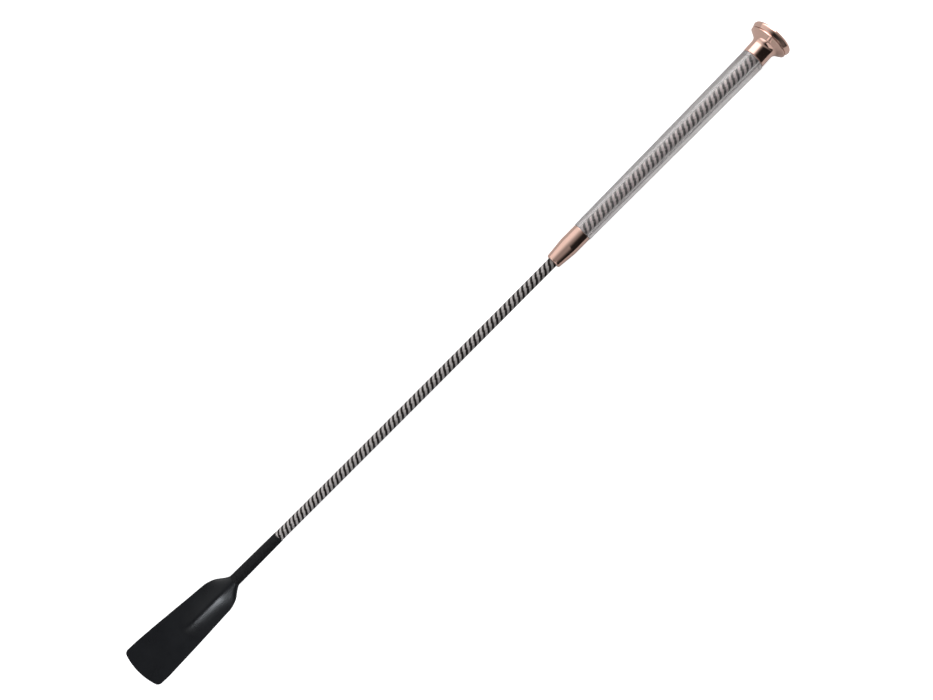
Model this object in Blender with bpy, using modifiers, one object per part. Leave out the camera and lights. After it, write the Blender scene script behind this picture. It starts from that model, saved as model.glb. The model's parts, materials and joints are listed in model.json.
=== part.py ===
# Riding crop: a tapered rod in a braided sleeve, with a leather flap at one end and a gel grip and a
# turned metal cap at the other. Stations run along the crop in millimetres, from the flap's far end to
# the cap. The crop lies as it rests on a table, on its cap's rim, its neck binding and its flap's end.

import math

import bmesh
import bpy
from mathutils import Vector

MM = 0.001
GAP = 0.3  # left between pieces that touch

# Stations along the crop
HINGE = 88.0  # where the flap bends
NECK = 96.0  # where the leather has closed round the rod
TAIL_END = 118.0
BINDING = (95.0, 140.5)
FERRULE = (420.4, 450.5)
GRIP = (450.8, 626.0)
COLLAR_END = 635.2
CAP_SEAM = 643.0  # the groove between the cap's body and its top
CAP_RIM = 646.8
TOTAL = 650.0

# Leather flap
FLAP_HALF_WIDTH = 17.2
SHOULDER = 76.0
SHOULDER_HALF_WIDTH = 13.1
END_SAGITTA = 3.2  # the flap's far end is a shallow arc
CORNER_RADIUS = 2.6
LEAF_THICKNESS = 1.6
TAIL_THICKNESS = 0.95  # the leather is thinned where it is bound
HINGE_CLEARANCE = 1.8  # each side of the hinge line
FLAP_LEAN = math.radians(1.2)  # the flap sits a little off the shaft's line

# Radii
ROD_TIP_RADIUS = 1.8
ROD_BUTT_RADIUS = 2.7
BRAID_RADIUS = 3.55
BRAID_NECK_RADIUS = 2.6
TAIL_INNER_RADIUS = BRAID_NECK_RADIUS + GAP
BINDING_RADIUS = (4.6, 4.1)
FERRULE_RADIUS = (5.7, 7.15)
GRIP_RADIUS = (7.35, 8.85)
COLLAR_RADIUS = 8.7
CAP_RIM_RADIUS = 16.1

ROD = (91.0, 638.5)
BRAID = (99.0, 632.0)

scene = bpy.context.scene
for old in list(bpy.data.objects):
    bpy.data.objects.remove(old, do_unlink=True)
scene.unit_settings.system = "METRIC"

parts = bpy.data.collections.new("riding_crop")
scene.collection.children.link(parts)


def smooth(value, low, high):
    """0 before low, 1 after high, and an even S between them."""
    t = min(max((value - low) / (high - low), 0.0), 1.0)
    return t * t * (3 - 2 * t)


def between(value, span, ends):
    """The straight taper from ends[0] at span[0] to ends[1] at span[1]."""
    t = (value - span[0]) / (span[1] - span[0])
    return ends[0] + (ends[1] - ends[0]) * t


def arc(station, radius, size, start, end, count=5):
    """Points of an arc about (station, radius); its angles are degrees from the cap end towards the rim."""
    turns = [math.radians(start + (end - start) * i / count) for i in range(count + 1)]
    return [(station + size * math.cos(a), radius + size * math.sin(a)) for a in turns]


def finish(name, colour, roughness, metallic=0.0, alpha=1.0):
    material = bpy.data.materials.new(name)
    material.use_nodes = True
    shader = material.node_tree.nodes["Principled BSDF"]
    shader.inputs["Base Color"].default_value = (*colour, 1.0)
    shader.inputs["Roughness"].default_value = roughness
    shader.inputs["Metallic"].default_value = metallic
    shader.inputs["Alpha"].default_value = alpha
    return material


def add_object(name, mesh, parent, material):
    obj = bpy.data.objects.new(name, mesh)
    obj.parent = parent
    mesh.materials.append(material)
    parts.objects.link(obj)
    return obj


def turned(name, parent, material, outer, inner=(), steps=32):
    """A piece turned about the crop's axis. outer and inner are (station, radius) points in rising
    station. With no inner profile the piece is solid and its outline ends on the axis."""
    loop = list(reversed(outer)) + list(inner)
    points = [(radius * MM, 0, (station - origin_of(parent)) * MM) for station, radius in loop]
    edges = [(i, i + 1) for i in range(len(points) - 1)]
    if inner:
        edges.append((len(points) - 1, 0))
    mesh = bpy.data.meshes.new(name)
    mesh.from_pydata(points, edges, [])
    obj = add_object(name, mesh, parent, material)
    obj.rotation_euler = (0, math.radians(90), 0)
    screw = obj.modifiers.new("turn", "SCREW")
    screw.axis = "Z"
    screw.angle = math.radians(360)
    screw.steps = screw.render_steps = steps
    screw.use_merge_vertices = True
    screw.merge_threshold = 0.00002
    screw.use_smooth_shade = True
    return obj


def origin_of(parent):
    return HINGE if parent == flap_hinge else 0.0


def half_width(station):
    """Half the leather's width, seen from above."""
    if station <= SHOULDER:
        t = max(station - 14.0, 0.0) / (SHOULDER - 14.0)
        return FLAP_HALF_WIDTH - (FLAP_HALF_WIDTH - SHOULDER_HALF_WIDTH) * t**1.15
    t = min((station - SHOULDER) / (NECK - SHOULDER), 1.0)
    neck = TAIL_INNER_RADIUS + TAIL_THICKNESS
    return neck + (SHOULDER_HALF_WIDTH - neck) * (1 + math.cos(math.pi * t**1.35)) / 2


def leaf_thickness(station):
    return LEAF_THICKNESS + (TAIL_THICKNESS - LEAF_THICKNESS) * smooth(station, 80.0, NECK)


def crown(station):
    """How far the leaf's inner face stands off the flap's middle plane, at the middle of its width."""
    return TAIL_INNER_RADIUS * smooth(station, 22.0, NECK)


def end_station(across):
    """The flap's far edge: an arc with rounded corners. across is -1 to 1."""
    corner = max(abs(across) - 1 + CORNER_RADIUS / FLAP_HALF_WIDTH, 0.0) * FLAP_HALF_WIDTH / CORNER_RADIUS
    return END_SAGITTA * across**2 + CORNER_RADIUS * (1 - math.sqrt(max(1 - corner**2, 0.0)))


def leaf(name, side, span, parent, material, along, across):
    """One leather leaf over a span of stations: its inner face, given its thickness by a Solidify."""
    mesh = bpy.data.meshes.new(name)
    shape = bmesh.new()
    bmesh.ops.create_grid(shape, x_segments=along, y_segments=across, size=1)
    thicknesses = []
    for vert in shape.verts:
        turn = vert.co.y * math.pi / 2
        low = max(span[0], end_station(math.sin(turn)))
        station = low + (span[1] - low) * (vert.co.x + 1) / 2
        closing = smooth(station, SHOULDER, NECK)
        thickness = leaf_thickness(station)
        width = half_width(station) - thickness * closing
        rise = GAP / 2 + crown(station) * max(math.cos(turn), 0.0) ** (2.5 - 1.5 * closing)
        blade = max(HINGE - station, 0.0)
        aside = blade * math.tan(FLAP_LEAN)
        droop = flap_droop * (blade / HINGE) ** 2
        at = Vector((station - origin_of(parent), width * math.sin(turn) + aside, side * rise - droop))
        vert.co = at * MM
        thicknesses.append(thickness)
    bmesh.ops.recalc_face_normals(shape, faces=shape.faces)
    if next(iter(shape.faces)).normal.z * side < 0:
        bmesh.ops.reverse_faces(shape, faces=shape.faces)
    shape.to_mesh(mesh)
    shape.free()
    mesh.shade_smooth()
    obj = add_object(name, mesh, parent, material)
    skive = obj.vertex_groups.new(name="thickness")
    for index, thickness in enumerate(thicknesses):
        skive.add([index], thickness / LEAF_THICKNESS, "REPLACE")
    solidify = obj.modifiers.new("leather", "SOLIDIFY")
    solidify.thickness = LEAF_THICKNESS * MM
    solidify.offset = 1
    solidify.use_even_offset = True
    solidify.vertex_group = skive.name
    return obj


# The crop rests on its binding's edge and the cap's rim; the flap droops just enough to touch as well.
rest_slope = (CAP_RIM_RADIUS - BINDING_RADIUS[0]) / (CAP_RIM - BINDING[0])
flap_droop = BINDING_RADIUS[0] - BINDING[0] * rest_slope - LEAF_THICKNESS - GAP / 2

crop_axis = bpy.data.objects.new("crop_axis", None)
crop_axis.rotation_euler = (0, -math.atan(rest_slope), 0)
parts.objects.link(crop_axis)
flap_hinge = bpy.data.objects.new("flap_hinge", None)
flap_hinge.parent = crop_axis
flap_hinge.location = (HINGE * MM, 0, 0)
parts.objects.link(flap_hinge)


def add_flap():
    leather = finish("black_leather", (0.012, 0.012, 0.014), 0.42)
    for name, side in (("flap_front_leaf", 1), ("flap_back_leaf", -1)):
        leaf(name, side, (0.0, HINGE - HINGE_CLEARANCE), flap_hinge, leather, 26, 14)
    core = finish("filler_felt", (0.05, 0.045, 0.04), 0.9)
    stations = [50.0 + 5.0 * i for i in range(8)]
    outline = [(s, crown(s) - 0.45) for s in stations]
    outline = [(stations[0] - 0.8, 0.0)] + outline + [(stations[-1] + 0.6, 0.0)]
    turned("flap_filler", flap_hinge, core, outline, steps=16)


def add_tails():
    leather = finish("bound_leather", (0.012, 0.012, 0.014), 0.5)
    for name, side in (("front_leaf_tail", 1), ("back_leaf_tail", -1)):
        leaf(name, side, (HINGE + HINGE_CLEARANCE, TAIL_END), crop_axis, leather, 10, 12)


def add_rod():
    glass_fibre = finish("glass_fibre", (0.45, 0.42, 0.34), 0.4)
    outline = [(ROD[0], 0.0), (ROD[0], ROD_TIP_RADIUS - 0.4), (ROD[0] + 0.4, ROD_TIP_RADIUS)]
    outline += [(ROD[1] - 0.3, ROD_BUTT_RADIUS), (ROD[1], ROD_BUTT_RADIUS - 0.3), (ROD[1], 0.0)]
    turned("core_rod", crop_axis, glass_fibre, outline, steps=20)


def add_braid():
    cloth = finish("striped_braid", (0.28, 0.25, 0.24), 0.6)
    bore = [(s, between(s, ROD, (ROD_TIP_RADIUS, ROD_BUTT_RADIUS)) + GAP) for s in BRAID]
    outline = [(BRAID[0], BRAID_NECK_RADIUS), (TAIL_END + 0.6, BRAID_NECK_RADIUS)]
    outline += [(TAIL_END + 4.5, BRAID_RADIUS), (BRAID[1], BRAID_RADIUS)]
    turned("shaft_braid", crop_axis, cloth, outline, bore, steps=24)


def add_binding():
    thread = finish("black_thread", (0.011, 0.011, 0.012), 0.55)
    low, high = BINDING
    wide, narrow = BINDING_RADIUS
    tail_radius = TAIL_INNER_RADIUS + TAIL_THICKNESS + GAP
    braid_radius = BRAID_RADIUS + GAP
    outline = arc(low + 0.4, wide - 0.4, 0.4, 180, 90, 3) + arc(high - 0.2, narrow - 0.2, 0.2, 90, 0, 3)
    bore = [(low, tail_radius), (TAIL_END + 2.2, tail_radius), (TAIL_END + 4.2, braid_radius)]
    bore.append((high, braid_radius))
    turned("neck_binding", crop_axis, thread, outline, bore, steps=28)


def add_ferrule():
    rose_gold = finish("rose_gold", (0.72, 0.40, 0.31), 0.12, metallic=1.0)
    small, large = FERRULE_RADIUS
    low, high = FERRULE
    lip = 1.1
    cone_end = low + 16.0
    wall = 0.85
    bore = BRAID_RADIUS + GAP
    outline = arc(low + lip, small - lip, lip, 180, 96, 5) + arc(cone_end, large - 6.0, 6.0, 95, 90, 2)
    outline += arc(high - 0.25, large - 0.25, 0.25, 90, 0, 2)
    hollow = [(low, bore), (low + 3.6, bore), (low + 6.8, large - wall - 0.9), (cone_end, large - wall)]
    hollow.append((high, large - wall))
    turned("ferrule", crop_axis, rose_gold, outline, hollow, steps=40)
    plastic = finish("bush_plastic", (0.02, 0.02, 0.02), 0.6)
    bush_low = low + 7.6
    bush = [(bush_low, large - wall - GAP - 1.2), (cone_end, large - wall - GAP)]
    bush.append((high - 0.2, large - wall - GAP))
    turned("ferrule_bush", crop_axis, plastic, bush, [(bush_low, bore), (high - 0.2, bore)])


def add_grip():
    gel = finish("clear_gel", (0.78, 0.74, 0.74), 0.25, alpha=0.45)
    bore = BRAID_RADIUS + GAP
    first, last = GRIP_RADIUS
    edge = 0.5
    outline = arc(GRIP[0] + edge, first - edge, edge, 180, 90, 4)
    outline += arc(GRIP[1] - edge, last - edge, edge, 90, 0, 4)
    turned("grip_sleeve", crop_axis, gel, outline, [(GRIP[0], bore), (GRIP[1], bore)], steps=40)


def add_cap():
    rose_gold = finish("cap_rose_gold", (0.72, 0.40, 0.31), 0.1, metallic=1.0)
    low = GRIP[1] + GAP
    bush_radius = 5.5
    spigot_radius = 10.2
    spigot_low = CAP_SEAM - 1.7
    fillet = 3.5  # the hollow curve between the collar and its straight flare
    body = arc(low + 0.3, COLLAR_RADIUS - 0.3, 0.3, 180, 90, 2)
    body += arc(COLLAR_END, COLLAR_RADIUS + fillet, fillet, -90, -38, 5)
    body += arc(CAP_SEAM - 0.55, 14.9, 0.55, 130, 0, 5)
    bore = [(low, bush_radius + GAP), (spigot_low - GAP, bush_radius + GAP)]
    bore += [(spigot_low - GAP, spigot_radius + GAP), (CAP_SEAM, spigot_radius + GAP)]
    turned("cap_body", crop_axis, rose_gold, body, bore, steps=48)

    top = [(spigot_low, 0.0), (spigot_low, spigot_radius), (CAP_SEAM + GAP, spigot_radius)]
    top += arc(CAP_SEAM + GAP + 0.5, 15.0, 0.5, 180, 120, 3)
    top += arc(CAP_RIM - 0.4, CAP_RIM_RADIUS - 2.0, 2.0, 115, 25, 8)
    flat_radius = 7.0
    dome_low = 648.6
    for i in range(1, 5):
        t = i / 4
        top.append((dome_low + (TOTAL - dome_low) * math.sin(t * math.pi / 2), 15.2 + (flat_radius - 15.2) * t))
    top.append((TOTAL, 0.0))
    turned("cap_top", crop_axis, rose_gold, top, steps=48)

    plastic = finish("cap_bush_plastic", (0.02, 0.02, 0.02), 0.6)
    tape_radius = BRAID_RADIUS + GAP + 0.3
    step = BRAID[1] + 0.4
    bush_low, bush_high = low + 0.5, spigot_low - 2 * GAP
    hole = [(bush_low, tape_radius + GAP), (step, tape_radius + GAP), (step, ROD_BUTT_RADIUS + GAP)]
    hole.append((bush_high, ROD_BUTT_RADIUS + GAP))
    turned("cap_bush", crop_axis, plastic, [(bush_low, bush_radius), (bush_high, bush_radius)], hole)

    tape = finish("braid_tape", (0.25, 0.24, 0.22), 0.7)
    span = (BRAID[1] - 4.0, BRAID[1])
    outer = [(s, tape_radius) for s in span]
    turned("braid_end_tape", crop_axis, tape, outer, [(s, BRAID_RADIUS + GAP) for s in span], steps=24)


def stand_on_floor():
    """Puts the middle of the crop's box over the origin and its lowest point on the floor."""
    bpy.context.view_layer.update()
    graph = bpy.context.evaluated_depsgraph_get()
    corners = []
    for obj in parts.objects:
        if obj.type == "MESH":
            piece = obj.evaluated_get(graph)
            corners += [piece.matrix_world @ vert.co for vert in piece.data.vertices]
    low = Vector([min(corner[axis] for corner in corners) for axis in range(3)])
    high = Vector([max(corner[axis] for corner in corners) for axis in range(3)])
    crop_axis.location -= Vector(((low.x + high.x) / 2, (low.y + high.y) / 2, low.z))


add_flap()
add_tails()
add_rod()
add_braid()
add_binding()
add_ferrule()
add_grip()
add_cap()
stand_on_floor()
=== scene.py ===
import json
import math

import bmesh
import bpy
import numpy as np
from mathutils import Matrix, Vector, noise


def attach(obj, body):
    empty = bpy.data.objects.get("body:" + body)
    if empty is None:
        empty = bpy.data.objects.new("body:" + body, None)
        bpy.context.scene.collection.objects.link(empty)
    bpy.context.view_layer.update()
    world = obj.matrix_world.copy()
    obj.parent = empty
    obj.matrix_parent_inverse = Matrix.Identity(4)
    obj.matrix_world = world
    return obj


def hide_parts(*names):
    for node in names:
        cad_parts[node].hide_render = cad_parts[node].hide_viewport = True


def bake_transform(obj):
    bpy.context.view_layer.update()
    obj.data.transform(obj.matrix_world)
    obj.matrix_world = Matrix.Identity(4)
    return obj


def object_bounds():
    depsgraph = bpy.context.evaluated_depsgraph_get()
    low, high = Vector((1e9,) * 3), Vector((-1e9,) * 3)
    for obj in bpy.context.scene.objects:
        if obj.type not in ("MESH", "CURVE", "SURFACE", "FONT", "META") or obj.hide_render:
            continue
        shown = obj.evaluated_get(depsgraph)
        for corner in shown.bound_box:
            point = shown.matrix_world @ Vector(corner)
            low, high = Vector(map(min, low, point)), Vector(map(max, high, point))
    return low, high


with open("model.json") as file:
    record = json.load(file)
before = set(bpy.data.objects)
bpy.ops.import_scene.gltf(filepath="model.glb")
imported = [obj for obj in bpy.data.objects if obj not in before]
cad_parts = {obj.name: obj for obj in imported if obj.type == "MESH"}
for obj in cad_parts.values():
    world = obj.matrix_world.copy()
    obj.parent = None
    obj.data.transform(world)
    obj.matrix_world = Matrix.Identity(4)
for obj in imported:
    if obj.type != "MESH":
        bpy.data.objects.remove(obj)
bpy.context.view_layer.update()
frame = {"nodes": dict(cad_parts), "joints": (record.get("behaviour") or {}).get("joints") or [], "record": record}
print("frame loaded:", len(frame["nodes"]), "nodes")

mm = 0.001
cadGap = 0.3  # the CAD pieces stand this far off each other, in millimetres

# Everything is made in the crop's own millimetres, x along it from the flap's end, then put in place.
hingeStation = 88.0
capMount = next(mount for mount in frame["record"]["mounts"] if mount["name"] == "cap_end")
flexJoint = next(joint for joint in frame["joints"] if joint["name"] == "flap_flex")
alongCrop = Vector(capMount["axis"]).normalized()
acrossCrop = Vector((0, 1, 0))
upCrop = alongCrop.cross(acrossCrop)
cropStart = Vector(flexJoint["pos_m"]) - alongCrop * hingeStation * mm
cropPlace = Matrix((alongCrop, acrossCrop, upCrop)).transposed().to_4x4()
cropPlace.translation = cropStart
millimetres = Matrix.Scale(mm, 4)


def atStation(station, across=0.0, up=0.0):
    return cropPlace @ Vector((station * mm, across * mm, up * mm))


# The crop isn't quite straight: it bows sideways as a parabola, and keeps its last offset past "end".
bowShape = {"rise": 1.37, "middle": 470.0, "reach": 370.0, "offset": -0.2, "end": 627.0}


def bow(stations):
    fromMiddle = np.minimum(stations, bowShape["end"]) - bowShape["middle"]
    return bowShape["rise"] * (fromMiddle / bowShape["reach"]) ** 2 + bowShape["offset"]


def cadSpan(node):
    # first and last station of a CAD node, and the radius at each end
    toCrop = cropPlace.inverted()
    points = np.array([toCrop @ v.co for v in frame["nodes"][node].data.vertices]) / mm
    radii = np.hypot(points[:, 1], points[:, 2])
    low, high = points[:, 0].min(), points[:, 0].max()
    reach = (high - low) * 0.12 + 0.5
    return low, high, radii[points[:, 0] < low + reach].max(), radii[points[:, 0] > high - reach].max()


# Small makers shared by the pieces
def addPiece(name, mesh, finish, body=None, stands=()):
    # mesh is in the crop's millimetres
    points = np.empty(len(mesh.vertices) * 3, np.float32)
    mesh.vertices.foreach_get("co", points)
    points[1::3] += bow(points[0::3])
    mesh.vertices.foreach_set("co", points)
    mesh.transform(cropPlace @ millimetres)
    obj = bpy.data.objects.new(name, mesh)
    bpy.context.scene.collection.objects.link(obj)
    mesh.materials.clear()
    mesh.materials.append(finish)
    if stands:
        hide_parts(*stands)
    if body:
        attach(obj, body)
    return obj


def outward(mesh):
    shape = bmesh.new()
    shape.from_mesh(mesh)
    bmesh.ops.recalc_face_normals(shape, faces=shape.faces)
    shape.to_mesh(mesh)
    shape.free()


def turnedMesh(name, outline, bore=(), around=128, sharp=35):
    # outline and bore are (station, radius) points in rising station
    loop = steadied(outline) + list(reversed(steadied(bore) if bore else ()))
    shape = bmesh.new()
    rings = []
    for station, radius in loop:
        if radius < 1e-6:
            rings.append([shape.verts.new((station, 0, 0))] * around)
            continue
        turns = [2 * math.pi * i / around for i in range(around)]
        rings.append([shape.verts.new((station, radius * math.cos(a), radius * math.sin(a))) for a in turns])
    pairs = list(zip(rings, rings[1:] + rings[:1])) if bore else list(zip(rings, rings[1:]))
    for ringA, ringB in pairs:
        for i in range(around):
            j = (i + 1) % around
            corners = dict.fromkeys((ringA[i], ringA[j], ringB[j], ringB[i]))
            if len(corners) > 2:
                shape.faces.new(corners)
    bmesh.ops.recalc_face_normals(shape, faces=shape.faces)
    mesh = bpy.data.meshes.new(name)
    shape.to_mesh(mesh)
    shape.free()
    mesh.shade_smooth()
    mesh.set_sharp_from_angle(angle=math.radians(sharp))
    return mesh


def steadied(outline, near=0.3, longRun=60, parts=24):
    # A ring close to each end of a run keeps its shading true. A long run is also cut into parts, so
    # that it can bow.
    points = [outline[0]]
    for low, high in zip(outline, outline[1:]):
        length = math.dist(low, high)
        if length > 4 * near:
            between = [i / parts for i in range(1, parts)] if length > longRun else []
            for t in (near / length, *between, 1 - near / length):
                points.append((low[0] + (high[0] - low[0]) * t, low[1] + (high[1] - low[1]) * t))
        points.append(high)
    return points


def arc(station, radius, size, start, end, count=8):
    turns = [math.radians(start + (end - start) * i / count) for i in range(count + 1)]
    return [(station + size * math.cos(a), radius + size * math.sin(a)) for a in turns]


def ramp(value, low, high):
    t = min(max((value - low) / (high - low), 0.0), 1.0)
    return t * t * (3 - 2 * t)


# Shader groups
def shaderGroup(name, inputs, outputs):
    group = bpy.data.node_groups.new(name, "ShaderNodeTree")
    for label, kind, value in inputs:
        socket = group.interface.new_socket(name=label, in_out="INPUT", socket_type=kind)
        if value is not None:
            socket.default_value = value
    for label in outputs:
        group.interface.new_socket(name=label, in_out="OUTPUT", socket_type="NodeSocketFloat")
    return group, group.nodes.new("NodeGroupInput"), group.nodes.new("NodeGroupOutput")


def mathNode(tree, operation, *values):
    node = tree.nodes.new("ShaderNodeMath")
    node.operation = operation
    for place, value in enumerate(values):
        if isinstance(value, (int, float)):
            node.inputs[place].default_value = value
        else:
            tree.links.new(value, node.inputs[place])
    return node.outputs[0]


def noiseNode(tree, coords, scale, detail=3.0, roughness=0.55):
    node = tree.nodes.new("ShaderNodeTexNoise")
    node.inputs["Detail"].default_value = detail
    node.inputs["Roughness"].default_value = roughness
    tree.links.new(coords, node.inputs["Vector"])
    if isinstance(scale, (int, float)):
        node.inputs["Scale"].default_value = scale
    else:
        tree.links.new(scale, node.inputs["Scale"])
    return node.outputs["Fac"]


def mapRange(tree, value, fromLow, fromHigh, toLow, toHigh):
    node = tree.nodes.new("ShaderNodeMapRange")
    for label, amount in (("Value", value), ("From Min", fromLow), ("From Max", fromHigh),
                          ("To Min", toLow), ("To Max", toHigh)):
        if isinstance(amount, (int, float)):
            node.inputs[label].default_value = amount
        else:
            tree.links.new(amount, node.inputs[label])
    return node.outputs["Result"]


def makeSurfaceGrain():
    # pores and fine unevenness of leather, felt, moulded plastic
    group, given, made = shaderGroup(
        "surfaceGrain",
        [("Coords", "NodeSocketVector", None), ("Size", "NodeSocketFloat", 900.0), ("Pores", "NodeSocketFloat", 0.5)],
        ["Height", "Shade"])
    pebble = group.nodes.new("ShaderNodeTexVoronoi")
    group.links.new(given.outputs["Coords"], pebble.inputs["Vector"])
    group.links.new(given.outputs["Size"], pebble.inputs["Scale"])
    fine = noiseNode(group, given.outputs["Coords"], mathNode(group, "MULTIPLY", given.outputs["Size"], 2.6))
    broad = noiseNode(group, given.outputs["Coords"], mathNode(group, "MULTIPLY", given.outputs["Size"], 0.06))
    pores = mathNode(group, "MULTIPLY", pebble.outputs["Distance"], given.outputs["Pores"])
    height = mathNode(group, "ADD", mathNode(group, "MULTIPLY", fine, 0.6), pores)
    group.links.new(mathNode(group, "ADD", height, mathNode(group, "MULTIPLY", broad, 0.5)), made.inputs["Height"])
    group.links.new(broad, made.inputs["Shade"])
    return group


def makeThreadTwist():
    # the plies of a laid thread, from its own length (x, in millimetres) and turn (y, in radians)
    group, given, made = shaderGroup(
        "threadTwist",
        [("Thread", "NodeSocketVector", None), ("Plies", "NodeSocketFloat", 2.0), ("Lay", "NodeSocketFloat", 6.0)],
        ["Height", "Shade", "Fuzz"])
    split = group.nodes.new("ShaderNodeSeparateXYZ")
    group.links.new(given.outputs["Thread"], split.inputs[0])
    along = mathNode(group, "MULTIPLY", split.outputs["X"], given.outputs["Lay"])
    around = mathNode(group, "MULTIPLY", split.outputs["Y"], given.outputs["Plies"])
    wave = mathNode(group, "SINE", mathNode(group, "ADD", along, around))
    ply = mathNode(group, "ADD", mathNode(group, "MULTIPLY", wave, 0.5), 0.5)
    fuzz = noiseNode(group, given.outputs["Thread"], 3.5, 4.0)
    group.links.new(mathNode(group, "ADD", ply, mathNode(group, "MULTIPLY", fuzz, 0.5)), made.inputs["Height"])
    # Shade darkens the grooves between plies: painted shade, as the thread's colour follows it
    group.links.new(ply, made.inputs["Shade"])
    group.links.new(fuzz, made.inputs["Fuzz"])
    return group


def makeHandledHaze():
    # soft smudges and hairline rub marks of something held in the hand
    group, given, made = shaderGroup(
        "handledHaze",
        [("Coords", "NodeSocketVector", None), ("Clean", "NodeSocketFloat", 0.06),
         ("Smudged", "NodeSocketFloat", 0.16)],
        ["Roughness", "Height", "Shade"])
    smudge = noiseNode(group, given.outputs["Coords"], 55.0, 4.0, 0.6)
    stretch = group.nodes.new("ShaderNodeMapping")
    stretch.inputs["Scale"].default_value = (0.12, 1.0, 1.0)
    group.links.new(given.outputs["Coords"], stretch.inputs["Vector"])
    rub = noiseNode(group, stretch.outputs[0], 2600.0, 2.0)
    worn = mapRange(group, smudge, 0.42, 0.68, given.outputs["Clean"], given.outputs["Smudged"])
    group.links.new(worn, made.inputs["Roughness"])
    group.links.new(rub, made.inputs["Height"])
    group.links.new(smudge, made.inputs["Shade"])
    return group


surfaceGrain = makeSurfaceGrain()
threadTwist = makeThreadTwist()
handledHaze = makeHandledHaze()


# Materials
def newFinish(name, roughness=0.5, metallic=0.0):
    material = bpy.data.materials.new(name)
    material.use_nodes = True
    tree = material.node_tree
    shader = tree.nodes["Principled BSDF"]
    shader.inputs["Roughness"].default_value = roughness
    shader.inputs["Metallic"].default_value = metallic
    return material, tree, shader


def groupNode(tree, group, **values):
    node = tree.nodes.new("ShaderNodeGroup")
    node.node_tree = group
    for label, value in values.items():
        if isinstance(value, (int, float)):
            node.inputs[label].default_value = value
        else:
            tree.links.new(value, node.inputs[label])
    return node


def objectCoords(tree):
    return tree.nodes.new("ShaderNodeTexCoord").outputs["Object"]


def threadCoords(tree):
    node = tree.nodes.new("ShaderNodeAttribute")
    node.attribute_name = "threadPath"
    return node.outputs["Vector"]


def blendColours(tree, factor, low, high, socket):
    node = tree.nodes.new("ShaderNodeMix")
    node.data_type = "RGBA"
    tree.links.new(factor, node.inputs[0])
    node.inputs[6].default_value = (*low, 1)
    node.inputs[7].default_value = (*high, 1)
    tree.links.new(node.outputs[2], socket)


def bumpFrom(tree, height, shader, strength, distance):
    node = tree.nodes.new("ShaderNodeBump")
    node.inputs["Strength"].default_value = strength
    node.inputs["Distance"].default_value = distance
    tree.links.new(height, node.inputs["Height"])
    tree.links.new(node.outputs[0], shader.inputs["Normal"])


def grainFinish(name, low, high, roughLow, roughHigh, size, pores, strength, distance):
    material, tree, shader = newFinish(name)
    grain = groupNode(tree, surfaceGrain, Coords=objectCoords(tree), Size=size, Pores=pores)
    blendColours(tree, grain.outputs["Shade"], low, high, shader.inputs["Base Color"])
    rough = mapRange(tree, grain.outputs["Shade"], 0.3, 0.7, roughLow, roughHigh)
    tree.links.new(rough, shader.inputs["Roughness"])
    bumpFrom(tree, grain.outputs["Height"], shader, strength, distance)
    return material, shader


# tone of the light yarn outside and under the grip; the lighter tone under the grip is painted light
yarnPaintedLight = {"bare": -0.22, "covered": 0.3}


def threadFinish(name, low, high, roughLow, roughHigh, plies, lay, strength, covered=0):
    material, tree, shader = newFinish(name)
    twist = groupNode(tree, threadTwist, Thread=threadCoords(tree), Plies=plies, Lay=lay)
    # the plies' Shade paints the grooves between them darker (painted shade); fuzz varies the tone at random
    tone = mathNode(tree, "ADD", mathNode(tree, "MULTIPLY", twist.outputs["Shade"], 0.55),
                    mathNode(tree, "MULTIPLY", twist.outputs["Fuzz"], 0.45))
    if covered:
        # painted light: yarn under the grip is painted lighter, standing in for light that the gel brings to the
        # braid, and bare yarn is darker
        split = tree.nodes.new("ShaderNodeSeparateXYZ")
        tree.links.new(objectCoords(tree), split.inputs[0])
        edge = atStation(covered).x
        paintedGripLight = mapRange(tree, split.outputs[0], edge - 2 * mm, edge + 2 * mm, yarnPaintedLight["bare"], yarnPaintedLight["covered"])
        tone = mathNode(tree, "ADD", tone, paintedGripLight)
    blendColours(tree, tone, low, high, shader.inputs["Base Color"])
    rough = mapRange(tree, twist.outputs["Fuzz"], 0.3, 0.7, roughLow, roughHigh)
    tree.links.new(rough, shader.inputs["Roughness"])
    bumpFrom(tree, twist.outputs["Height"], shader, strength, 0.00006)
    return material, shader


def hazeFinish(name, low, high, metallic, paintedGripLight, smudged, strength):
    material, tree, shader = newFinish(name, metallic=metallic)
    haze = groupNode(tree, handledHaze, Coords=objectCoords(tree), Clean=paintedGripLight, Smudged=smudged)
    blendColours(tree, haze.outputs["Shade"], low, high, shader.inputs["Base Color"])
    tree.links.new(haze.outputs["Roughness"], shader.inputs["Roughness"])
    bumpFrom(tree, haze.outputs["Height"], shader, strength, 0.00002)
    return material, shader


flapLeather, leatherShader = grainFinish(
    "flapLeather", (0.005, 0.0054, 0.0066), (0.0085, 0.0092, 0.011), 0.27, 0.34, 1300.0, 0.35, 0.2, 0.00006)
leatherShader.inputs["Specular IOR Level"].default_value = 0.3
braidDark, darkShader = threadFinish(
    "braidDark", (0.004, 0.002, 0.002), (0.015, 0.010, 0.009), 0.5, 0.72, 2.0, 5.0, 0.6)
darkShader.inputs["Specular IOR Level"].default_value = 0.2
braidLight, lightShader = threadFinish(
    "braidLight", (0.24, 0.215, 0.205), (0.95, 0.90, 0.89), 0.36, 0.55, 2.0, 5.0, 0.6, covered=450.0)
lightShader.inputs["Sheen Weight"].default_value = 0.1
bindingThread, bindingShader = threadFinish(
    "bindingThread", (0.003, 0.003, 0.0035), (0.014, 0.014, 0.016), 0.6, 0.75, 3.0, 9.0, 0.8)
bindingShader.inputs["Specular IOR Level"].default_value = 0.2
roseGold, _ = hazeFinish("roseGold", (0.86, 0.56, 0.46), (0.90, 0.61, 0.52), 1.0, 0.05, 0.12, 0.04)
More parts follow.
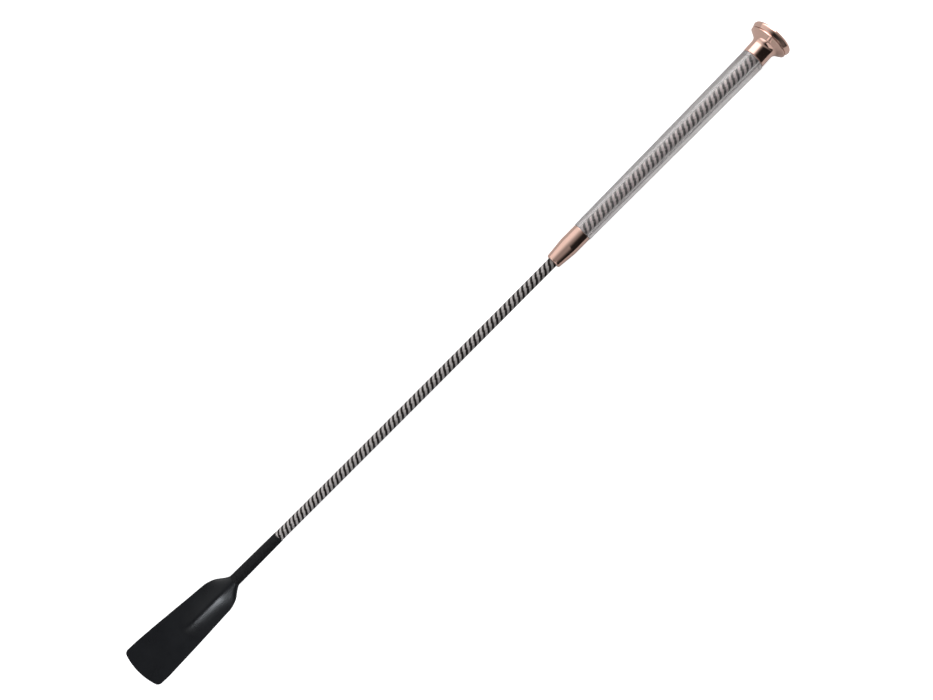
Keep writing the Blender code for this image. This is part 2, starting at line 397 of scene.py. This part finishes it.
clearGel, gelShader = hazeFinish("clearGel", (0.97, 0.93, 0.93), (1.0, 0.965, 0.965), 0.0, 0.12, 0.26, 0.4)
gelShader.inputs["Transmission Weight"].default_value = 0.95
gelShader.inputs["Specular IOR Level"].default_value = 0.8
gelShader.inputs["Sheen Weight"].default_value = 0.12
gelShader.inputs["IOR"].default_value = 1.42
glassFibre, _ = grainFinish(
    "glassFibre", (0.36, 0.33, 0.25), (0.52, 0.48, 0.38), 0.32, 0.5, 2200.0, 0.2, 0.2, 0.00005)
bushPlastic, _ = grainFinish(
    "bushPlastic", (0.012, 0.012, 0.012), (0.022, 0.022, 0.023), 0.45, 0.62, 1800.0, 0.5, 0.2, 0.00006)
fillerFelt, _ = grainFinish(
    "fillerFelt", (0.03, 0.027, 0.024), (0.075, 0.068, 0.06), 0.85, 0.98, 2600.0, 0.3, 0.8, 0.0002)
wovenTape, _ = grainFinish(
    "wovenTape", (0.2, 0.19, 0.17), (0.32, 0.31, 0.28), 0.6, 0.8, 2400.0, 0.9, 0.5, 0.0001)
print("materials ready")

# Flap: two leather leaves, cemented, running on as thin tails under the binding. Stations count from
# the flap's end, and a pair of them says where something starts and where it is full.
flap = {
    "halfWidth": 17.2, "fullWidthTo": 14.0, "narrowing": 1.15,
    "shoulder": 76.0, "shoulderHalfWidth": 13.1, "neck": 96.0, "waist": 99.0, "tailEnd": 117.0,
    "endSagitta": 3.2, "cornerRadius": 2.6, "edgeRound": 0.45, "seam": 0.06,
    "thickness": 1.6, "tailThickness": 0.95, "tailInner": 2.9, "skiveFrom": 80.0, "crownFrom": 22.0,
    "droop": 0.88, "lean": math.radians(1.2), "bendFrom": 80.5, "bendTo": 95.5,
    "unevenness": 0.10, "along": 150, "across": 56,
    "tent": (30.0, 50.0), "spine": 0.7, "spineRise": (43.0, 51.0), "spineFade": (52.0, 76.0),
    "spineAcross": 0.1, "spineNear": 8.0, "spineFar": 6.5, "spineRound": 0.5,
}


def flapHalfWidth(station):
    if station <= flap["shoulder"]:
        t = max(station - flap["fullWidthTo"], 0.0) / (flap["shoulder"] - flap["fullWidthTo"])
        return flap["halfWidth"] - (flap["halfWidth"] - flap["shoulderHalfWidth"]) * t ** flap["narrowing"]
    t = min((station - flap["shoulder"]) / (flap["waist"] - flap["shoulder"]), 1.0)
    neck = flap["tailInner"] + flap["tailThickness"]
    return neck + (flap["shoulderHalfWidth"] - neck) * (1 + math.cos(math.pi * t**1.1)) / 2


def flapEnd(across):
    corner = max(abs(across) - 1 + flap["cornerRadius"] / flap["halfWidth"], 0.0)
    corner *= flap["halfWidth"] / flap["cornerRadius"]
    return flap["endSagitta"] * across**2 + flap["cornerRadius"] * (1 - math.sqrt(max(1 - corner**2, 0.0)))


def leafMesh(name, side):
    shape = bmesh.new()
    bmesh.ops.create_grid(shape, x_segments=flap["along"], y_segments=flap["across"], size=1)
    thicknesses = []
    for vert in shape.verts:
        turn = vert.co.y * math.pi / 2
        low = flapEnd(math.sin(turn))
        station = low + (flap["tailEnd"] - low) * (vert.co.x + 1) / 2
        closing = ramp(station, flap["shoulder"], flap["neck"])
        thinned = ramp(station, flap["skiveFrom"], flap["neck"])
        skive = flap["thickness"] + (flap["tailThickness"] - flap["thickness"]) * thinned
        width = flapHalfWidth(station) - skive * closing
        crown = flap["tailInner"] * ramp(station, flap["crownFrom"], flap["neck"])
        rise = max(math.cos(turn), 0.0) ** (2.5 - 1.5 * closing)
        blade = max(hingeStation - station, 0.0)
        aside = blade * math.tan(flap["lean"])
        sag = flap["droop"] * (blade / hingeStation) ** 2
        wander = noise.noise(Vector((station * 0.045, math.sin(turn) * 0.9, side * 3.0)))
        spine = 0.0
        # the front leather is drawn like a tent over the filler's low spine
        if side > 0:
            offSpine = width * math.sin(turn) + aside - flap["spineAcross"]
            fall = math.hypot(offSpine, flap["spineRound"]) - flap["spineRound"]
            tent = math.exp(-fall / (flap["spineNear"] if offSpine > 0 else flap["spineFar"]))
            tent *= max(math.cos(turn), 0.0) ** 2.5
            rise += (tent - rise) * ramp(station, *flap["tent"]) * (1 - closing)
            spine = ramp(station, *flap["spineRise"]) * ramp(blade, 0.0, 10.0)
            spine *= flap["spine"] * (1 - 0.7 * ramp(station, *flap["spineFade"])) * tent
        rise = flap["seam"] + crown * rise + spine
        rise += flap["unevenness"] * wander * ramp(blade, 4.0, 20.0) * math.cos(turn)
        vert.co = (station, width * math.sin(turn) + aside, side * rise - sag)
        thicknesses.append(skive / flap["thickness"])
    bmesh.ops.recalc_face_normals(shape, faces=shape.faces)
    if next(iter(shape.faces)).normal.z * side < 0:
        bmesh.ops.reverse_faces(shape, faces=shape.faces)
    mesh = bpy.data.meshes.new(name)
    shape.to_mesh(mesh)
    shape.free()
    return mesh, thicknesses


def makeLeaf(name, side, stands):
    mesh, thicknesses = leafMesh(name, side)
    leaf = bpy.data.objects.new(name, mesh)
    bpy.context.scene.collection.objects.link(leaf)
    skive = leaf.vertex_groups.new(name="skive")
    for index, thickness in enumerate(thicknesses):
        skive.add([index], thickness, "REPLACE")
    solidify = leaf.modifiers.new("leather", "SOLIDIFY")
    solidify.thickness = flap["thickness"]
    solidify.offset = 1
    solidify.use_even_offset = True
    solidify.vertex_group = skive.name
    bevel = leaf.modifiers.new("edge", "BEVEL")
    bevel.width = flap["edgeRound"]
    bevel.segments = 3
    bevel.limit_method = "ANGLE"
    bevel.angle_limit = math.radians(50)
    finished = bpy.data.meshes.new_from_object(leaf.evaluated_get(bpy.context.evaluated_depsgraph_get()))
    bpy.data.objects.remove(leaf)
    finished.name = name
    outward(finished)
    finished.shade_smooth()
    finished.set_sharp_from_angle(angle=math.radians(50))  # the cut edges stay crisp
    piece = addPiece(name, finished, flapLeather, stands=stands)
    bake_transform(piece)


makeLeaf("flapFrontLeather", 1, ("flap_front_leaf", "front_leaf_tail"))
makeLeaf("flapBackLeather", -1, ("flap_back_leaf", "back_leaf_tail"))
print("flap leather made")


# Geometry node helpers
def growTree(name, sizes):
    tree = bpy.data.node_groups.new(name, "GeometryNodeTree")
    tree.is_modifier = True
    tree.interface.new_socket(name="Geometry", in_out="OUTPUT", socket_type="NodeSocketGeometry")
    for label, value in sizes.items():
        kind = "NodeSocketInt" if isinstance(value, int) else "NodeSocketFloat"
        tree.interface.new_socket(name=label, in_out="INPUT", socket_type=kind).default_value = value
    tree.interface.new_socket(name="Finish", in_out="INPUT", socket_type="NodeSocketMaterial")
    return tree, tree.nodes.new("NodeGroupInput"), tree.nodes.new("NodeGroupOutput")


def grownMesh(name, tree, sizes, finish):
    obj = bpy.data.objects.new(name, bpy.data.meshes.new(name))
    bpy.context.scene.collection.objects.link(obj)
    modifier = obj.modifiers.new("grow", "NODES")
    modifier.node_group = tree
    for item in tree.interface.items_tree:
        if item.in_out == "INPUT":
            modifier[item.identifier] = finish if item.name == "Finish" else sizes[item.name]
    obj.update_tag()
    graph = bpy.context.evaluated_depsgraph_get()
    mesh = bpy.data.meshes.new_from_object(obj.evaluated_get(graph))
    obj.modifiers.clear()
    bpy.data.objects.remove(obj)
    mesh.name = name
    outward(mesh)
    mesh.shade_smooth()
    return mesh


def tubeRing(tree, ringCount, sideCount):
    # a unit tube to be bent into a thread: how far along it, and cosine and sine round it
    tube = tree.nodes.new("GeometryNodeMeshCylinder")
    tube.fill_type = "TRIANGLE_FAN"
    tree.links.new(sideCount, tube.inputs["Vertices"])
    tree.links.new(ringCount, tube.inputs["Side Segments"])
    tube.inputs["Radius"].default_value = 1.0
    tube.inputs["Depth"].default_value = 1.0
    position = tree.nodes.new("GeometryNodeInputPosition")
    split = tree.nodes.new("ShaderNodeSeparateXYZ")
    tree.links.new(position.outputs[0], split.inputs[0])
    travel = mathNode(tree, "ADD", split.outputs["Z"], 0.5)
    return tube.outputs["Mesh"], travel, split.outputs["X"], split.outputs["Y"]


def setThread(tree, geometry, station, radius, angle, length, turn):
    # puts each point at (station, radius round the crop's axis) and keeps the thread's own coordinates
    place = tree.nodes.new("ShaderNodeCombineXYZ")
    tree.links.new(station, place.inputs["X"])
    tree.links.new(mathNode(tree, "MULTIPLY", radius, mathNode(tree, "COSINE", angle)), place.inputs["Y"])
    tree.links.new(mathNode(tree, "MULTIPLY", radius, mathNode(tree, "SINE", angle)), place.inputs["Z"])
    path = tree.nodes.new("ShaderNodeCombineXYZ")
    tree.links.new(length, path.inputs["X"])
    tree.links.new(turn, path.inputs["Y"])
    store = tree.nodes.new("GeometryNodeStoreNamedAttribute")
    store.data_type = "FLOAT_VECTOR"
    store.domain = "POINT"
    store.inputs["Name"].default_value = "threadPath"
    tree.links.new(geometry, store.inputs["Geometry"])
    tree.links.new(path.outputs[0], store.inputs["Value"])
    move = tree.nodes.new("GeometryNodeSetPosition")
    tree.links.new(store.outputs["Geometry"], move.inputs["Geometry"])
    tree.links.new(place.outputs[0], move.inputs["Position"])
    return move.outputs["Geometry"]


def finishTree(tree, geometry, given, made):
    realise = tree.nodes.new("GeometryNodeRealizeInstances")
    tree.links.new(geometry, realise.inputs["Geometry"])
    paint = tree.nodes.new("GeometryNodeSetMaterial")
    tree.links.new(realise.outputs["Geometry"], paint.inputs["Geometry"])
    tree.links.new(given.outputs["Finish"], paint.inputs["Material"])
    tree.links.new(paint.outputs["Geometry"], made.inputs["Geometry"])


# Braid: twelve flat yarns in two colours, six each way, each of three threads.
# Over and under alternate at every crossing, so the left-handed spirals keep one colour each.
braidSizes = {
    "Start": 137.0, "End": 629.0, "Radius": 3.42, "Swell": 0.13, "Proud": 0.07, "Thread Half Height": 0.36,
    "Turns Far": 0.0719, "Turns Near": 0.0178, "Ease": 122.0, "Phase": 0.0, "Hand": -1.0,
    "Thread Place": 0.0, "Cover": 1.12, "Rings": 1560, "Sides": 6, "Turned": 0.0,
}
yarnsEachWay = 6
threadPlaces = (-1.0, 0.0, 1.0)
braidTurn = -2  # degrees that the whole braid is turned about the crop
braidLining = {"low": 100.0, "tipEnd": 119.0, "start": 123.0, "end": 631.5, "steps": 60,
               "tipOuter": 2.5, "tipInner": 2.12, "outer": 2.98, "inner": 2.8}


def makeBraidTree():
    tree, given, made = growTree("braidYarn", braidSizes)
    size = given.outputs
    tube, travel, cosine, sine = tubeRing(tree, size["Rings"], size["Sides"])
    span = mathNode(tree, "SUBTRACT", size["End"], size["Start"])
    station = mathNode(tree, "ADD", size["Start"], mathNode(tree, "MULTIPLY", travel, span))
    # turns per millimetre fall from the tip towards the grip, and the turns so far are their sum
    fromStart = mathNode(tree, "SUBTRACT", station, size["Start"])
    falling = mathNode(tree, "MULTIPLY", size["Ease"], -1.0)
    fade = mathNode(tree, "EXPONENT", mathNode(tree, "DIVIDE", fromStart, falling))
    rate = mathNode(tree, "ADD", size["Turns Far"], mathNode(tree, "MULTIPLY", size["Turns Near"], fade))
    lead = mathNode(tree, "DIVIDE", 1.0, rate)
    eased = mathNode(tree, "MULTIPLY", mathNode(tree, "MULTIPLY", size["Turns Near"], size["Ease"]),
                     mathNode(tree, "SUBTRACT", 1.0, fade))
    turns = mathNode(tree, "ADD", mathNode(tree, "MULTIPLY", size["Turns Far"], fromStart), eased)
    swing = mathNode(tree, "MULTIPLY", turns, 2 * math.pi)
    # where this thread lies in its yarn: -1, 0 or 1 thread widths along the crop
    threadStep = mathNode(tree, "DIVIDE", lead, float(len(threadPlaces) * yarnsEachWay))
    centre = mathNode(tree, "ADD", station, mathNode(tree, "MULTIPLY", size["Thread Place"], threadStep))
    halfWidth = mathNode(tree, "MULTIPLY", mathNode(tree, "MULTIPLY", threadStep, 0.5), size["Cover"])
    placed = mathNode(tree, "ADD", centre, mathNode(tree, "MULTIPLY", halfWidth, cosine))
    wave = mathNode(tree, "COSINE", mathNode(tree, "MULTIPLY", swing, float(yarnsEachWay)))
    # left-laid yarns (hand -1) ride a little prouder than right-laid ones
    swell = mathNode(tree, "ADD", mathNode(tree, "MULTIPLY", wave, size["Swell"]), size["Proud"])
    lift = mathNode(tree, "MULTIPLY", swell, mathNode(tree, "MULTIPLY", size["Hand"], -1.0))
    # the outer threads of a yarn lie a little lower than its middle one
    inEdge = mathNode(tree, "MULTIPLY", mathNode(tree, "ABSOLUTE", size["Thread Place"]), -0.06)
    radius = mathNode(tree, "ADD", mathNode(tree, "ADD", size["Radius"], mathNode(tree, "ADD", lift, inEdge)),
                      mathNode(tree, "MULTIPLY", size["Thread Half Height"], sine))
    laid = mathNode(tree, "MULTIPLY", mathNode(tree, "ADD", swing, size["Phase"]), size["Hand"])
    angle = mathNode(tree, "ADD", laid, size["Turned"])
    length = mathNode(tree, "MULTIPLY", swing, size["Radius"])
    turn = mathNode(tree, "ARCTAN2", sine, cosine)
    thread = setThread(tree, tube, placed, radius, angle, length, turn)
    finishTree(tree, thread, given, made)
    return tree


def joinMeshes(name, meshes):
    shape = bmesh.new()
    for mesh in meshes:
        shape.from_mesh(mesh)
        bpy.data.meshes.remove(mesh)
    joined = bpy.data.meshes.new(name)
    shape.to_mesh(joined)
    shape.free()
    joined.shade_smooth()
    return joined


def makeBraid():
    tree = makeBraidTree()
    evenPlaces, oddPlaces = (0, 120, 240), (60, 180, 300)
    yarns = (
        ("braidDarkLeftLaid", braidDark, -1.0, evenPlaces), ("braidLightLeftLaid", braidLight, -1.0, oddPlaces),
        ("braidDarkRightLaid", braidDark, 1.0, oddPlaces), ("braidLightRightLaid", braidLight, 1.0, evenPlaces),
    )
    for name, finish, hand, places in yarns:
        threads = []
        for place in places:
            for threadPlace in threadPlaces:
                sizes = dict(braidSizes, Hand=hand, Turned=math.radians(place + braidTurn))
                sizes["Thread Place"] = threadPlace
                threads.append(grownMesh(name, tree, sizes, finish))
        addPiece(name, joinMeshes(name, threads), finish, body="shaft", stands=("shaft_braid",))


def makeBraidLining():
    # a thin dark tube under the yarns, so that no light comes through the gaps between them
    size = braidLining
    span = size["end"] - size["start"]
    steps = [size["start"] + span * i / size["steps"] for i in range(size["steps"] + 1)]
    outline = [(size["low"], size["tipOuter"]), (size["tipEnd"], size["tipOuter"])]
    outline += [(step, size["outer"]) for step in steps]
    bore = [(size["low"], size["tipInner"])] + [(step, size["inner"]) for step in steps]
    lining = turnedMesh("braidLining", outline, bore, around=32)
    threadPath = lining.attributes.new("threadPath", "FLOAT_VECTOR", "POINT")
    points = np.array([v.co for v in lining.vertices], np.float32)
    threadPath.data.foreach_set("vector", points.ravel())
    addPiece("braidLining", lining, braidDark, body="shaft", stands=("shaft_braid",))


makeBraid()
makeBraidLining()
print("braid grown")

# Neck binding: waxed thread wound close over the tails
bindingLow, bindingHigh, bindingWide, bindingNarrow = cadSpan("neck_binding")
windingSizes = {
    "Start": bindingLow + 0.25, "End": bindingHigh - 0.25, "Radius Low": bindingWide, "Radius High": bindingNarrow,
    "Thread": 0.48, "Unevenness": 0.07, "Rings": 4200, "Sides": 6,
}


def makeWindingTree():
    tree, given, made = growTree("threadWinding", windingSizes)
    size = given.outputs
    tube, travel, cosine, sine = tubeRing(tree, size["Rings"], size["Sides"])
    span = mathNode(tree, "SUBTRACT", size["End"], size["Start"])
    turns = mathNode(tree, "DIVIDE", span, mathNode(tree, "MULTIPLY", size["Thread"], 0.94))
    swing = mathNode(tree, "MULTIPLY", mathNode(tree, "MULTIPLY", turns, travel), 2 * math.pi)
    station = mathNode(tree, "ADD", size["Start"], mathNode(tree, "MULTIPLY", travel, span))
    half = mathNode(tree, "MULTIPLY", size["Thread"], 0.5)
    taper = mathNode(tree, "SUBTRACT", size["Radius High"], size["Radius Low"])
    outer = mathNode(tree, "ADD", size["Radius Low"], mathNode(tree, "MULTIPLY", taper, travel))
    wander = tree.nodes.new("ShaderNodeTexNoise")
    wander.noise_dimensions = "1D"
    wander.inputs["Scale"].default_value = 1.0
    wander.inputs["Detail"].default_value = 2.0
    tree.links.new(mathNode(tree, "MULTIPLY", swing, 0.37), wander.inputs["W"])
    uneven = mathNode(tree, "MULTIPLY", mathNode(tree, "SUBTRACT", wander.outputs["Fac"], 0.5),
                      mathNode(tree, "MULTIPLY", size["Unevenness"], 2.0))
    middle = mathNode(tree, "ADD", mathNode(tree, "SUBTRACT", outer, half), uneven)
    radius = mathNode(tree, "ADD", middle, mathNode(tree, "MULTIPLY", half, sine))
    shifted = mathNode(tree, "ADD", station, mathNode(tree, "MULTIPLY", uneven, 0.9))
    placed = mathNode(tree, "ADD", shifted, mathNode(tree, "MULTIPLY", half, cosine))
    length = mathNode(tree, "MULTIPLY", swing, outer)
    turn = mathNode(tree, "ARCTAN2", sine, cosine)
    finishTree(tree, setThread(tree, tube, placed, radius, swing, length, turn), given, made)
    return tree


def makeBinding():
    winding = grownMesh("bindingWinding", makeWindingTree(), windingSizes, bindingThread)
    addPiece("bindingWinding", winding, bindingThread, body="shaft", stands=("neck_binding",))


makeBinding()
print("binding wound")


# Ferrule, grip and cap: turned pieces
ferrule = {
    "lip": 1.1, "small": 5.95, "large": 7.4, "cone": 16.0, "shoulderRound": 6.0, "wall": 0.85, "rim": 0.12,
    "landEnd": 3.6, "boreStart": 6.8, "boreStep": 0.9,
}
grip = {"edge": 0.5, "low": 7.8, "high": 9.25}
cap = {
    "pivot": bowShape["end"], "cocked": math.radians(2.5), "aside": 0.35,
    "edge": 0.3, "collar": 9.1, "collarEnd": 635.2, "fillet": 5.5, "bushHole": 5.8,
    "seam": 643.0, "crestRadius": 15.0, "crest": 0.55, "spigot": 10.2, "spigotDepth": 1.7,
    "seatRound": 0.5, "rimStation": 646.4, "rimRadius": 16.5, "rimRound": 2.0, "flat": 6.0,
}
rod = {"edge": 0.3, "steps": 60}
braidHole = 4.15  # clear of the proudest yarn


def makeFerrule():
    low, high = cadSpan("ferrule")[:2]
    small, large = ferrule["small"], ferrule["large"]
    cone = low + ferrule["cone"]
    bend = ferrule["shoulderRound"]
    outline = arc(low + ferrule["lip"], small - ferrule["lip"], ferrule["lip"], 180, 95, 10)
    outline += arc(cone, large - bend, bend, 95, 90, 6)
    outline += arc(high - ferrule["rim"], large - ferrule["rim"], ferrule["rim"], 90, 0, 5)
    inside = large - ferrule["wall"]
    bore = [(low, braidHole), (low + ferrule["landEnd"], braidHole)]
    bore += [(low + ferrule["boreStart"], inside - ferrule["boreStep"]), (cone, inside), (high, inside)]
    addPiece("ferruleShell", turnedMesh("ferruleShell", outline, bore), roseGold, body="shaft",
             stands=("ferrule",))


def makeGrip():
    low, high = cadSpan("grip_sleeve")[:2]
    edge = grip["edge"]
    outline = arc(low + edge, grip["low"] - edge, edge, 180, 90, 6)
    outline += arc(high - edge, grip["high"] - edge, edge, 90, 0, 6)
    addPiece("gripGel", turnedMesh("gripGel", outline, [(low, braidHole), (high, braidHole)]), clearGel,
             body="shaft", stands=("grip_sleeve",))


def cockCap(mesh):
    # the cap sits a little crooked on the grip
    pivot = Matrix.Translation((cap["pivot"], 0, 0))
    aside = Matrix.Translation((0, cap["aside"], 0))
    mesh.transform(aside @ pivot @ Matrix.Rotation(cap["cocked"], 4, "Z") @ pivot.inverted())
    return mesh


def makeCap():
    low = cadSpan("cap_body")[0]
    total = cadSpan("cap_top")[1]
    collar = cap["collar"]
    edge = cap["edge"]
    outline = arc(low + edge, collar - edge, edge, 180, 90, 4)
    outline += arc(cap["collarEnd"], collar + cap["fillet"], cap["fillet"], -90, -44, 14)
    outline += arc(cap["seam"] - cap["crest"], cap["crestRadius"], cap["crest"], 132, 0, 9)
    recess = cap["seam"] - cap["spigotDepth"] - cadGap
    bore = [(low, cap["bushHole"]), (recess, cap["bushHole"]), (recess, cap["spigot"] + cadGap),
            (cap["seam"], cap["spigot"] + cadGap)]
    addPiece("capBody", cockCap(turnedMesh("capBody", outline, bore)), roseGold, body="shaft",
             stands=("cap_body",))
    seat = cap["seam"] + cadGap
    low = cap["seam"] - cap["spigotDepth"]
    top = [(low, 0.0), (low, cap["spigot"]), (seat, cap["spigot"])]
    top += arc(seat + cap["seatRound"], cap["crestRadius"] + 0.1, cap["seatRound"], 180, 120, 6)
    top += arc(cap["rimStation"], cap["rimRadius"] - cap["rimRound"], cap["rimRound"], 115, 25, 16)
    rimEnd = top[-1]
    steps = 16
    for i in range(1, steps + 1):
        t = i / steps
        rise = (total - rimEnd[0]) * math.sin(t * math.pi / 2)
        top.append((rimEnd[0] + rise, rimEnd[1] + (cap["flat"] - rimEnd[1]) * t))
    top.append((total, 0.0))
    addPiece("capTop", cockCap(turnedMesh("capTop", top)), roseGold, body="shaft", stands=("cap_top",))


def makeRod():
    low, high, small, large = cadSpan("core_rod")
    edge, steps = rod["edge"], rod["steps"]
    outline = [(low, 0.0), (low, small - edge), (low + edge, small)]
    outline += [(low + (high - low) * i / steps, small + (large - small) * i / steps) for i in range(1, steps)]
    outline += [(high - edge, large), (high, large - edge), (high, 0.0)]
    addPiece("coreRod", turnedMesh("coreRod", outline, around=48), glassFibre, body="shaft",
             stands=("core_rod",))


makeFerrule()
makeGrip()
makeCap()
makeRod()
print("metal and grip turned")

# Inner pieces that keep their CAD shape
innerFinishes = {
    "ferrule_bush": bushPlastic, "cap_bush": bushPlastic,
    "braid_end_tape": wovenTape, "flap_filler": fillerFelt,
}
for node, finish in innerFinishes.items():
    materials = frame["nodes"][node].data.materials
    materials.clear()
    materials.append(finish)

# Stage
studio = {
    "floor": 3.0, "floorTone": 0.6, "whiteLift": 0.9,
    "wall": 0.66, "capWall": 1.15, "flapWall": 0.9, "ceiling": 0.3, "nearSide": 0.014, "beyond": 0.42,
    "cameraDistance": 1.06, "cameraRoll": 45.28, "millimetresAcross": 673.6, "aim": (331.5, -0.68),
}
# Where each part of the room starts and where it is full. The rises are degrees from overhead towards
# the far side. The others are parts of a direction along or across the crop.
room = {
    "wallRise": (2, 54), "capWallRise": (13, 42), "capWallAlong": (0.1, 0.26), "flapWallAlong": (0.5, 0.9),
    "ceilingSlope": 2.4, "ceilingEdge": (-0.75, 0.0), "ceilingAlong": (-0.5, -0.05), "beyondAlong": (0.33, 0.46),
}


def makeFloor():
    mesh = bpy.data.meshes.new("floor")
    shape = bmesh.new()
    bmesh.ops.create_circle(shape, cap_ends=True, segments=96, radius=studio["floor"])
    shape.to_mesh(mesh)
    shape.free()
    floor = bpy.data.objects.new("floor", mesh)
    bpy.context.scene.collection.objects.link(floor)
    floor.location.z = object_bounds()[0][2] - 0.0002
    material, tree, shader = newFinish("paleFloor", 0.9)
    shader.inputs["Base Color"].default_value = (studio["floorTone"],) * 3 + (1,)
    shader.inputs["Specular IOR Level"].default_value = 0.1
    shader.inputs["Emission Color"].default_value = (1, 1, 1, 1)
    seen = tree.nodes.new("ShaderNodeLightPath").outputs["Is Camera Ray"]
    tree.links.new(mathNode(tree, "MULTIPLY", seen, studio["whiteLift"]), shader.inputs["Emission Strength"])
    mesh.materials.append(material)


def makeSky():
    # A pale room seen by its reflections: a bright wall on the far side (+Y), brighter still past the
    # cap, a dim ceiling, and a dark near side that reaches overhead towards the cap.
    world = bpy.data.worlds.new("studio")
    bpy.context.scene.world = world
    world.use_nodes = True
    tree = world.node_tree
    background = tree.nodes["Background"]
    direction = tree.nodes.new("ShaderNodeTexCoord").outputs["Generated"]
    split = tree.nodes.new("ShaderNodeSeparateXYZ")
    tree.links.new(direction, split.inputs[0])
    along, across, up = split.outputs

    def softStep(value, low, high):
        node = tree.nodes.new("ShaderNodeMapRange")
        node.interpolation_type = "SMOOTHSTEP"
        tree.links.new(value, node.inputs["Value"])
        node.inputs["From Min"].default_value = low
        node.inputs["From Max"].default_value = high
        return node.outputs["Result"]

    def scaled(value, amount, base=0.0):
        return mathNode(tree, "ADD", mathNode(tree, "MULTIPLY", value, amount), base)

    lean = mathNode(tree, "ARCTAN2", across, up)
    wall = softStep(lean, *map(math.radians, room["wallRise"]))
    capSide = softStep(lean, *map(math.radians, room["capWallRise"]))
    capSide = mathNode(tree, "MULTIPLY", capSide, softStep(along, *room["capWallAlong"]))
    flapSide = mathNode(tree, "MULTIPLY", wall, softStep(scaled(along, -1.0), *room["flapWallAlong"]))
    walls = mathNode(tree, "ADD", scaled(wall, studio["wall"]), scaled(capSide, studio["capWall"]))
    walls = mathNode(tree, "ADD", walls, scaled(flapSide, studio["flapWall"]))
    past = mathNode(tree, "SUBTRACT", across, scaled(along, room["ceilingSlope"]))
    ceiling = mathNode(tree, "MULTIPLY", softStep(past, *room["ceilingEdge"]), softStep(along, *room["ceilingAlong"]))
    ceiling = scaled(ceiling, studio["ceiling"], studio["nearSide"])
    ceiling = mathNode(tree, "ADD", ceiling, scaled(softStep(along, *room["beyondAlong"]), studio["beyond"]))
    seen = tree.nodes.new("ShaderNodeLightPath").outputs["Is Camera Ray"]
    lit = mathNode(tree, "MAXIMUM", mathNode(tree, "ADD", walls, ceiling), seen)
    tree.links.new(lit, background.inputs["Strength"])
    background.inputs["Color"].default_value = (1, 1, 1, 1)


# places and targets are (station, across, up) in the crop's millimetres, sizes are in metres
lights = {
    "keySoftbox": {"place": (2100, 850, 750), "target": (400, 0, 0), "size": 1.2, "watts": 27},
    "flapSoftbox": {"place": (-186, -480, 540), "target": (68, 0, 0), "size": 0.16, "watts": 0.17,
                    "colour": (0.88, 0.93, 1.0), "spread": 50},
    "fillSoftbox": {"place": (-900, -750, 700), "target": (260, 0, 0), "size": 1.6, "watts": 5.5},
}


def areaLight(name, place, target, size, watts, colour=(1, 1, 1), spread=180):
    light = bpy.data.lights.new(name, "AREA")
    light.shape = "RECTANGLE"
    light.size = light.size_y = size
    light.energy = watts
    light.spread = math.radians(spread)
    light.color = colour
    obj = bpy.data.objects.new(name, light)
    bpy.context.scene.collection.objects.link(obj)
    obj.location = atStation(*place)
    obj.rotation_euler = (atStation(*target) - obj.location).to_track_quat("-Z", "Y").to_euler()


def makeCamera():
    camera = bpy.data.cameras.new("camera")
    camera.sensor_width = 36.0
    camera.lens = 36.0 * studio["cameraDistance"] * 1000 / studio["millimetresAcross"]
    camera.clip_start = 0.05
    obj = bpy.data.objects.new("camera", camera)
    bpy.context.scene.collection.objects.link(obj)
    aim = atStation(*studio["aim"])
    roll = math.radians(studio["cameraRoll"])
    # the crop runs up to the right, so the camera's own right is turned that far back from it
    right = alongCrop * math.cos(roll) - acrossCrop * math.sin(roll)
    up = alongCrop * math.sin(roll) + acrossCrop * math.cos(roll)
    turn = Matrix((right, up, upCrop)).transposed().to_4x4()
    turn.translation = aim + upCrop * studio["cameraDistance"]
    obj.matrix_world = turn
    bpy.context.scene.camera = obj


makeFloor()
makeSky()
for name, light in lights.items():
    areaLight(name, **light)
makeCamera()
bpy.context.scene.view_settings.view_transform = "Standard"
print("stage set")
